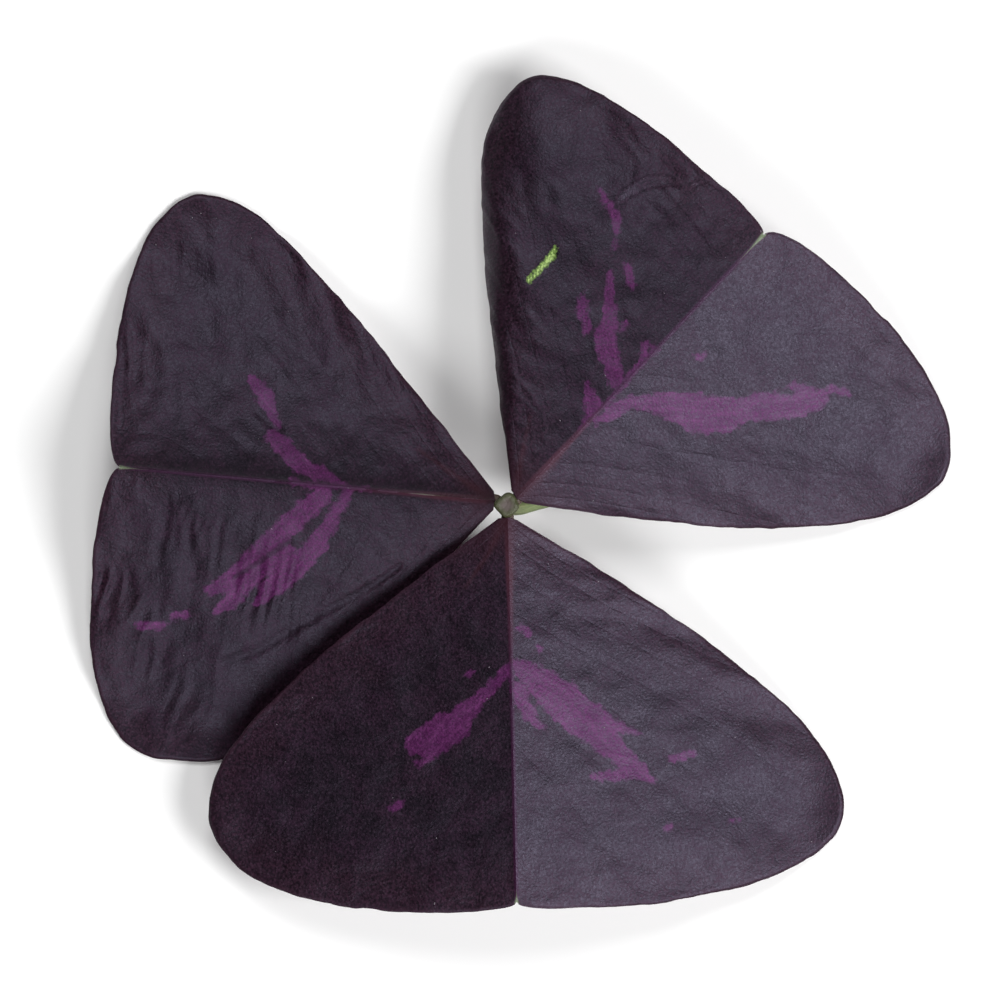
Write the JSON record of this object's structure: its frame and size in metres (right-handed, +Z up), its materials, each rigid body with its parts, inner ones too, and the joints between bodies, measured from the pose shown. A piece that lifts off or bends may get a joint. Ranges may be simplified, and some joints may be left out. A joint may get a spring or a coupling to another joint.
{
  "type": "purple shamrock leaf",
  "caption": "Picked leaf of a purple shamrock lying on a surface: folded, notched, dark purple leaflets with magenta flame markings round the top of a cut green stalk.",
  "frame": {"origin": "on the surface that the leaf lies on, under the middle of its outline", "axes": "+Z up, out of the leaf's upper side; -Y along the front leaflet, away from the stalk's knob; +X to the right as the leaf is seen from above"},
  "size_m": [0.073, 0.0702, 0.0104],
  "materials": {
    "stalk": "satin",
    "blade": "matt"
  },
  "bodies": {
    "root": {"stalk": "stalk", "leaflet_left": "blade", "leaflet_right": "blade", "leaflet_front": "blade"}
  },
  "joints": []
}
